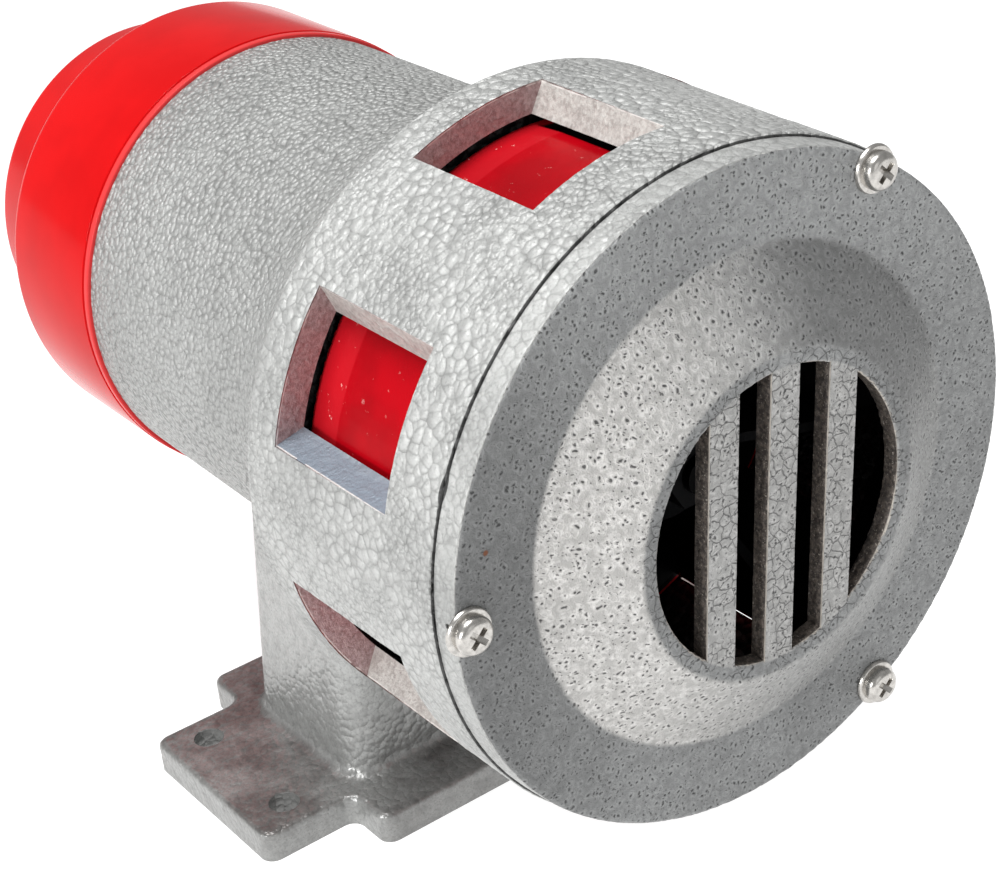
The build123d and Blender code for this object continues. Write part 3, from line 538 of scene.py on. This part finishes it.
# black that stands in for painted shade inside the intake, on the impeller, the rotor's nut and its washer
shade_black_paint = plastic("dull_black_paint", (0.010, 0.010, 0.011), 0.6, Specular_IOR_Level=0.15)
zinc = plain_metal("bright_zinc", (0.60, 0.58, 0.55), 0.26)
steel = plain_metal("turned_steel", (0.50, 0.50, 0.51), 0.3)
shaft_steel = shaft_material()
race_steel = plain_metal("ground_steel", (0.78, 0.78, 0.80), 0.12)
brass = plain_metal("brass_sheet", (0.78, 0.57, 0.25), 0.3)
copper = plain_metal("turned_copper", (0.80, 0.40, 0.25), 0.28)
lamination = plain_metal("core_stack", (0.22, 0.22, 0.24), 0.45, 1500.0)
winding = plastic("varnished_wire", (0.40, 0.13, 0.035), 0.3, 0.15, 900.0)
aluminium = plain_metal("die_cast_aluminium", (0.66, 0.67, 0.68), 0.42, 500.0)
phenolic = plastic("phenolic_moulding", (0.05, 0.032, 0.022), 0.42)
carbon = plastic("pressed_carbon", (0.03, 0.03, 0.034), 0.6)
nylon = plastic("white_nylon", (0.80, 0.80, 0.76), 0.35)
rubber = plastic("black_rubber", (0.02, 0.02, 0.02), 0.65)


# ---- castings -----------------------------------------------------------------------------------
def link(name, mesh):
    piece = bpy.data.objects.new(name, mesh)
    bpy.context.collection.objects.link(piece)
    return piece


def bake_modifiers(piece):
    """Puts what the modifiers make into the piece's own mesh."""
    graph = bpy.context.evaluated_depsgraph_get()
    mesh = bpy.data.meshes.new_from_object(piece.evaluated_get(graph), depsgraph=graph)
    old = piece.data
    piece.modifiers.clear()
    piece.data = mesh
    bpy.data.meshes.remove(old)
    return piece


def even_copy(name, node):
    """An evenly meshed copy of a CAD node with its edges kept, for casting relief."""
    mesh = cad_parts[node].data.copy()
    shape = bmesh.new()
    shape.from_mesh(mesh)
    bmesh.ops.remove_doubles(shape, verts=shape.verts, dist=1e-6)
    shape.to_mesh(mesh)
    shape.free()
    piece = link(name, mesh)
    remesh = piece.modifiers.new("even", "REMESH")
    remesh.mode = "SHARP"
    remesh.octree_depth = finest
    remesh.scale = 0.98
    remesh.sharpness = 1.0
    remesh.use_remove_disconnected = False
    return bake_modifiers(piece)


def positions(mesh):
    at = np.empty(len(mesh.vertices) * 3)
    mesh.vertices.foreach_get("co", at)
    return at.reshape(-1, 3)


def normals(mesh):
    way = np.empty(len(mesh.vertices) * 3, np.float32)
    mesh.vertex_normals.foreach_get("vector", way)
    return way.reshape(-1, 3)


def outward_share(mesh):
    """For each vertex, 1 where it faces away from the siren's axis or along it, 0 where it faces in."""
    at, way = positions(mesh), normals(mesh)
    arm = at - np.array([0.0, 0.0, axis_height])
    arm[:, 1] = 0.0
    arm /= np.maximum(np.linalg.norm(arm, axis=1), 1e-9)[:, None]
    outward = (arm * way).sum(1)
    return np.clip((outward + 0.6) / 0.4, 0.0, 1.0)


def emboss(piece, relief, depth):
    """Sinks the piece's surface between the blisters, by up to the depth and by each vertex's share of it."""
    attribute = piece.data.attributes.new("relief", "FLOAT", "POINT")
    attribute.data.foreach_set("value", relief.astype(np.float32))
    group = bpy.data.node_groups.new(piece.name + "_relief", "GeometryNodeTree")
    group.interface.new_socket("Geometry", in_out="INPUT", socket_type="NodeSocketGeometry")
    group.interface.new_socket("Geometry", in_out="OUTPUT", socket_type="NodeSocketGeometry")
    tree = Tree(group)
    start, end = tree.add("NodeGroupInput"), tree.add("NodeGroupOutput")
    coords = tree.add("GeometryNodeInputPosition").outputs[0]
    way = tree.add("GeometryNodeInputNormal").outputs[0]
    share = tree.add("GeometryNodeInputNamedAttribute", data_type="FLOAT")
    share.inputs["Name"].default_value = "relief"
    sunk = tree.math("SUBTRACT", hammer_height(tree, coords), 1.0)
    offset = tree.multiply(sunk, share.outputs["Attribute"], depth)
    move = tree.add("GeometryNodeSetPosition")
    tree.put(move.inputs["Geometry"], start.outputs[0])
    tree.put(move.inputs["Offset"], tree.vector("SCALE", way, scale=offset))
    tree.put(end.inputs[0], move.outputs[0])
    modifier = piece.modifiers.new("relief", "NODES")
    modifier.node_group = group
    bake_modifiers(piece)


def split_off(piece, name, test):
    """Takes the faces whose middle passes the test out of the piece, as a piece of its own."""
    other = link(name, piece.data.copy())
    for item, keep in ((piece, False), (other, True)):
        shape = bmesh.new()
        shape.from_mesh(item.data)
        unwanted = [face for face in shape.faces if test(face.calc_center_median()) != keep]
        bmesh.ops.delete(shape, geom=unwanted, context="FACES")
        shape.to_mesh(item.data)
        shape.free()
    return other


def smooth_shading(piece, angle):
    for polygon in piece.data.polygons:
        polygon.use_smooth = True
    piece.data.set_sharp_from_angle(angle=math.radians(angle))


def dress(piece, material, body="casing"):
    piece.data.materials.clear()
    piece.data.materials.append(material)
    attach(piece, body)


def make_housing():
    """The body casting in three pieces that meet edge to edge; its mounting face stays flat."""
    drum = even_copy("housing_drum", "housing")
    above_floor = np.clip(positions(drum.data)[:, 2] / MM - 0.5, 0.0, 1.0)
    emboss(drum, outward_share(drum.data) * above_floor, 0.10 * MM)
    pedestal = split_off(drum, "housing_pedestal", lambda spot: spot.z < pedestal_top)
    barrel = split_off(drum, "housing_barrel", lambda spot: spot.y > drum_rear)
    for piece in (drum, barrel, pedestal):
        smooth_shading(piece, 50.0)
        dress(piece, enamel)
        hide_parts("housing")


def make_cover():
    cover = even_copy("front_cover_casting", "front_cover")
    emboss(cover, np.ones(len(cover.data.vertices)), 0.05 * MM)
    smooth_shading(cover, 50.0)
    dress(cover, cover_paint)
    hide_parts("front_cover")


def lathe(name, outline, centre, direction, steps):
    """Closed turned shape from (along, radius) points, about a line through the centre."""
    way = Vector(direction).normalized()
    side = way.orthogonal().normalized()
    other = way.cross(side)
    mesh = bpy.data.meshes.new(name)
    shape = bmesh.new()
    turns = [2 * math.pi * step / steps for step in range(steps)]
    rings = []
    for along, radius in outline:
        middle = Vector(centre) + way * along
        if radius < 1e-7:
            rings.append([shape.verts.new(middle)])
            continue
        rings.append([shape.verts.new(middle + (side * math.cos(t) + other * math.sin(t)) * radius)
                      for t in turns])
    for first, second in zip(rings, rings[1:] + rings[:1]):
        for step in range(steps):
            after = (step + 1) % steps
            corners = [first[step % len(first)], first[after % len(first)],
                       second[after % len(second)], second[step % len(second)]]
            corners = list(dict.fromkeys(corners))
            if len(corners) > 2:
                shape.faces.new(corners)
    bmesh.ops.recalc_face_normals(shape, faces=shape.faces)
    shape.to_mesh(mesh)
    shape.free()
    return link(name, mesh)


def rounded(points, radii, steps=5):
    """Outline with each corner replaced by an arc of the radius given for it."""
    outline = []
    for index, ((x, y), radius) in enumerate(zip(points, radii)):
        corner = Vector((x, y))
        if radius == 0:
            outline.append((x, y))
            continue
        before = Vector(points[index - 1]) - corner
        after = Vector(points[(index + 1) % len(points)]) - corner
        half = before.angle(after) / 2
        reach = min(radius / math.tan(half), 0.49 * before.length, 0.49 * after.length)
        radius = reach * math.tan(half)
        inward = (before.normalized() + after.normalized()).normalized()
        centre = corner + inward * (radius / math.sin(half))
        start = corner + before.normalized() * reach - centre
        turn = start.angle_signed(corner + after.normalized() * reach - centre)
        for step in range(steps + 1):
            angle = -turn * step / steps
            arm = Vector((start.x * math.cos(angle) - start.y * math.sin(angle),
                          start.x * math.sin(angle) + start.y * math.cos(angle)))
            outline.append(tuple(centre + arm))
    return outline


def clean(piece):
    """Joins points that coincide and drops faces without area."""
    apart = 2e-6
    shape = bmesh.new()
    shape.from_mesh(piece.data)
    bmesh.ops.remove_doubles(shape, verts=shape.verts, dist=apart)
    bmesh.ops.dissolve_degenerate(shape, edges=shape.edges, dist=apart)
    bmesh.ops.triangulate(shape, faces=[face for face in shape.faces if len(face.verts) > 4])
    bmesh.ops.dissolve_degenerate(shape, edges=shape.edges, dist=apart)
    shape.to_mesh(piece.data)
    shape.free()


def cut(piece, cutter):
    """Takes the cutter's volume out of the piece, and drops the cutter."""
    knife = piece.modifiers.new("cut", "BOOLEAN")
    knife.operation = "DIFFERENCE"
    knife.solver = "EXACT"
    knife.object = cutter
    bake_modifiers(piece)
    clean(piece)
    bpy.data.objects.remove(cutter)


def screw_outline(head_radius, head_height, shank_length):
    """Half section of a pan-head screw with ringed threads, from (along, radius) points."""
    shank_radius, thread_pitch, thread_depth = 1.95 * MM, 0.7 * MM, 0.3 * MM
    outline = [(-shank_length, 0.0), (-shank_length, 1.2 * MM), (-shank_length + 0.8 * MM, shank_radius)]
    for turn in range(int((shank_length - 2.0 * MM) / thread_pitch)):
        along = -shank_length + 1.0 * MM + turn * thread_pitch
        outline += [(along, shank_radius), (along + thread_pitch / 2, shank_radius - thread_depth)]
    outline += [(-0.4 * MM, shank_radius), (0.0, shank_radius), (0.0, head_radius)]
    crown_rise, crown_width, steps = 1.45 * MM, 1.5 * MM, 8
    for step in range(steps + 1):
        angle = math.radians(90.0 * step / steps)
        along = head_height - 0.06 * MM - crown_rise * (1 - math.sin(angle))
        outline.append((along, head_radius - crown_width * (1 - math.cos(angle))))
    return outline + [(head_height, 0.0)]


def recess_blade(top, way, first, second):
    """One blade of the cross recess: a bar that narrows and shortens with depth."""
    mesh = bpy.data.meshes.new("recess")
    shape = bmesh.new()
    for depth, half_length, half_width in ((0.0, 2.35 * MM, 0.62 * MM), (1.75 * MM, 0.95 * MM, 0.36 * MM)):
        for a, b in ((-1, -1), (1, -1), (1, 1), (-1, 1)):
            shape.verts.new(top - way * depth + first * (a * half_length) + second * (b * half_width))
    shape.verts.ensure_lookup_table()
    low, high = shape.verts[:4], shape.verts[4:]
    shape.faces.new(low)
    shape.faces.new(high[::-1])
    for index in range(4):
        after = (index + 1) % 4
        shape.faces.new((low[index], high[index], high[after], low[after]))
    bmesh.ops.recalc_face_normals(shape, faces=shape.faces)
    shape.to_mesh(mesh)
    shape.free()
    return link("recess", mesh)


def make_screw(name, seat, way, shank_length, node):
    """Pan-head screw with a cross recess; the underside of its head is at the seat."""
    head_radius, head_height, segments = 3.7 * MM, 2.5 * MM, 64
    way = Vector(way)
    screw = lathe(name, screw_outline(head_radius, head_height, shank_length), seat, way, segments)
    side = way.orthogonal().normalized()
    other = way.cross(side)
    top = seat + way * (head_height + 0.2 * MM)
    for first, second in ((side, other), (other, side)):
        cut(screw, recess_blade(top, way, first, second))
    smooth_shading(screw, 32.0)
    dress(screw, zinc)
    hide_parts(node)


def cover_screw_spots(station):
    for index in range(screw_count):
        angle = math.radians(screw_first_angle + 360.0 / screw_count * index)
        yield Vector((screw_ring_radius * math.cos(angle), station,
                      axis_height + screw_ring_radius * math.sin(angle)))


def make_cover_screws():
    """Three screws with their washers, where the CAD has them."""
    thickness = cover_face - washers_low.y
    bore, edge, front_edge = 2.1 * MM, 4.7 * MM, 4.5 * MM
    ring = rounded(
        [(0.0, bore), (thickness, bore), (thickness, front_edge), (0.35 * thickness, edge), (0.0, edge)],
        [0, 0, 0.3 * MM, 0.2 * MM, 0.1 * MM], 3)
    for index, spot in enumerate(cover_screw_spots(washers_low.y)):
        make_screw(f"cover_screw_{index + 1}", spot, (0, -1, 0), 12.4 * MM, "cover_screws")
        seat = spot + Vector((0, thickness, 0))
        washer = lathe(f"cover_screw_washer_{index + 1}", ring, seat, (0, -1, 0), 72)
        smooth_shading(washer, 40.0)
        dress(washer, zinc)
        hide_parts("cover_screw_washers")


def bored(piece, reach, radius, centre, way, steps):
    """Cuts a round hole between the two places along the way, measured from the centre."""
    start, end = reach
    cut(piece, lathe("hole", [(start, 0), (start, radius), (end, radius), (end, 0)], centre, way, steps))


def make_cap():
    """Moulded cap: a fine lip at its mouth, a rounded shoulder and a stepped end with a shallow dish."""
    front, rear, radius = cap_low.y, cap_high.y, cap_high.x
    shoulder, boss, wall = 85.5 * MM, 42.6 * MM, 2.6 * MM
    boss_flare, dish_depth, dish_edge = 1.8 * MM, 0.4 * MM, 6.0 * MM
    lip, groove = radius - 0.15 * MM, radius - 0.4 * MM
    points = [
        (front, radius - wall), (front, lip), (front + 1.6 * MM, lip),
        (front + 1.75 * MM, groove), (front + 2.1 * MM, groove), (front + 2.25 * MM, radius),
        (shoulder, radius), (shoulder + 2.2 * MM, boss + boss_flare), (rear, boss),
        (rear, boss - dish_edge), (rear - dish_depth, boss - dish_edge - 0.6 * MM), (rear - dish_depth, 0.0),
        (rear - wall, 0.0), (rear - wall, boss - wall), (shoulder - 1.6 * MM, boss - wall + boss_flare),
        (shoulder - wall, radius - wall),
    ]
    radii = [0.3, 0.45, 0.1, 0.1, 0.1, 0.2, 3.4, 1.6, 5.0, 0.4, 0.4, 0, 0, 2.6, 1.0, 1.2]
    outline = rounded(points, [value * MM for value in radii], 7)
    cap = lathe("rear_cap_moulding", outline, (0, 0, axis_height), (0, 1, 0), 256)
    screw_spots = [Vector((side * 27.0 * MM, rear, axis_height)) for side in (-1, 1)]
    for spot in screw_spots:
        bored(cap, (-9 * MM, 9 * MM), 2.2 * MM, spot, (0, 1, 0), 48)
    grommet_station = 68.0 * MM
    bored(cap, (0, 20 * MM), 5.0 * MM, (0, grommet_station, axis_height - 40 * MM), (0, 0, -1), 64)
    smooth_shading(cap, 30.0)
    dress(cap, red_moulding)
    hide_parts("rear_cap")
    for index, spot in enumerate(screw_spots):
        make_screw(f"rear_cap_screw_{index + 1}", spot, (0, 1, 0), 13.0 * MM, "rear_cap_screws")


def make_rotor():
    """Chopper rim, evenly meshed, with shading that softens its shallow edges."""
    rim = even_copy("rotor_rim", "rotor_drum")
    smooth_shading(rim, 45.0)
    dress(rim, rotor_red, "rotor")
    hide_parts("rotor_drum")


def make_brush_spring(side):
    """Coil spring with closed ends."""
    low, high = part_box(f"brush_spring_{side}")
    sign = 1 if side == "right" else -1
    start, end = sorted((low.x, high.x), key=abs)
    length = abs(end - start)
    wire = 0.35 * MM
    coil = (high.y - low.y) / 2 - wire
    middle = (low + high) / 2
    turns, closed = 8.0, 1.0            # closed is the number of turns that touch at each end
    steps, around = 40, 12
    dead = closed * 2 * wire

    def along(turn):
        if turn < closed:
            return wire + turn * 2 * wire
        if turn > turns - closed:
            return length - wire - (turns - turn) * 2 * wire
        return wire + dead + (length - 2 * wire - 2 * dead) * (turn - closed) / (turns - 2 * closed)

    def spot(turn):
        angle = 2 * math.pi * turn
        return Vector((
            start + sign * along(turn),
            middle.y + coil * math.cos(angle),
            middle.z + coil * math.sin(angle),
        ))

    mesh = bpy.data.meshes.new(f"brush_spring_coil_{side}")
    shape = bmesh.new()
    rings = []
    for index in range(int(turns * steps) + 1):
        turn = index / steps
        way = (spot(turn + 0.01) - spot(turn - 0.01)).normalized()
        out = Vector((0, math.cos(2 * math.pi * turn), math.sin(2 * math.pi * turn)))
        other = way.cross(out).normalized()
        rings.append([
            shape.verts.new(spot(turn) + (out * math.cos(t) + other * math.sin(t)) * wire)
            for t in (2 * math.pi * corner / around for corner in range(around))
        ])
    for first, second in zip(rings, rings[1:]):
        for corner in range(around):
            after = (corner + 1) % around
            shape.faces.new((first[corner], first[after], second[after], second[corner]))
    shape.faces.new(rings[0][::-1])
    shape.faces.new(rings[-1])
    bmesh.ops.recalc_face_normals(shape, faces=shape.faces)
    shape.to_mesh(mesh)
    shape.free()
    spring = link(mesh.name, mesh)
    smooth_shading(spring, 50.0)
    dress(spring, steel)
    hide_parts(f"brush_spring_{side}")
    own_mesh(spring)


make_housing()
make_cover()
make_cover_screws()
make_cap()
make_rotor()
for side in ("right", "left"):
    make_brush_spring(side)

# ---- CAD nodes that keep their shape --------------------------------------------------------------
node_materials = {
    "cable_grommet": rubber, "motor_shaft": shaft_steel,
    # these parts are made black as painted shade inside the intake
    "impeller": shade_black_paint, "rotor_washer": shade_black_paint, "rotor_nut": shade_black_paint,
    "armature_core": lamination, "armature_winding": winding, "stator_core": lamination,
    "field_coils": winding, "commutator": copper, "rear_bracket": aluminium,
    "brush_blocks": phenolic, "brush_cap_left": phenolic, "brush_cap_right": phenolic,
    "brush_holder_left": brass, "brush_holder_right": brass,
    "carbon_brush_left": carbon, "carbon_brush_right": carbon,
    "bearing_retainer": steel, "bearing_retainer_screws": zinc,
    "terminal_block": nylon, "terminal_screws": brass, "suppression_capacitor": nylon,
}
for end in ("front", "rear"):
    for part in ("outer_race", "inner_race", "balls"):
        node_materials[f"{end}_bearing_{part}"] = race_steel
    node_materials[f"{end}_bearing_cage"] = brass
for node, material in node_materials.items():
    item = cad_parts[node]
    item.data.materials.clear()
    item.data.materials.append(material)


# ---- studio -----------------------------------------------------------------------------------------
def area_light(name, spot, target, size, power):
    data = bpy.data.lights.new(name, "AREA")
    data.shape = "DISK"
    data.size = size
    data.energy = power
    lamp = bpy.data.objects.new(name, data)
    bpy.context.collection.objects.link(lamp)
    lamp.location = spot
    lamp.rotation_mode = "QUATERNION"
    lamp.rotation_quaternion = (Vector(target) - Vector(spot)).to_track_quat("-Z", "Y")


def make_studio():
    """A pale floor that glows a little, a pale surround, and three soft lights."""
    mesh = bpy.data.meshes.new("floor")
    shape = bmesh.new()
    bmesh.ops.create_grid(shape, x_segments=8, y_segments=8, size=6.0)
    shape.to_mesh(mesh)
    shape.free()
    floor = link("floor", mesh)
    material, tree, shader, coords = new_material("pale_floor", 0.0, 0.9)
    tree.put(shader.inputs["Base Color"],
             tree.mix(tree.noise(coords, 3.0), (0.36, 0.36, 0.36, 1), (0.38, 0.38, 0.38, 1)))
    shader.inputs["Emission Color"].default_value = (1, 1, 1, 1)
    shader.inputs["Emission Strength"].default_value = 0.84
    mesh.materials.append(material)

    world = bpy.data.worlds.new("studio")
    bpy.context.scene.world = world
    world.use_nodes = True
    surround = world.node_tree.nodes["Background"]
    surround.inputs["Color"].default_value = (1.0, 1.0, 1.0, 1.0)
    surround.inputs["Strength"].default_value = 0.40
    centre = (0.0, -0.02, 0.09)
    area_light("key", (-1.0, -0.2, 0.36), centre, 0.3, 5.8)
    area_light("top", (-0.2, 0.05, 1.05), centre, 0.6, 10.5)
    area_light("fill", (-0.1, -1.1, 0.5), centre, 0.7, 0.8)


def make_camera():
    """The camera looks down on the intake from the left, a little tilted."""
    azimuth, elevation, roll = math.radians(-33.83), math.radians(28.7), math.radians(-6.2)
    target = Vector((-32.1, -78.9, 113.6)) * MM
    distance = 419.9 * MM
    back = Vector((
        math.sin(azimuth) * math.cos(elevation),
        -math.cos(azimuth) * math.cos(elevation),
        math.sin(elevation),
    ))
    data = bpy.data.cameras.new("camera")
    data.sensor_width = 36.0
    data.lens = 82.56
    data.clip_start = 0.02
    data.clip_end = 50.0
    camera = bpy.data.objects.new("camera", data)
    bpy.context.collection.objects.link(camera)
    camera.location = target + back * distance
    level = (-back).to_track_quat("-Z", "Y").to_matrix()
    camera.rotation_euler = (level @ Matrix.Rotation(roll, 3, "Z")).to_euler()
    bpy.context.scene.camera = camera


make_studio()
make_camera()
bpy.context.scene.view_settings.view_transform = "Standard"
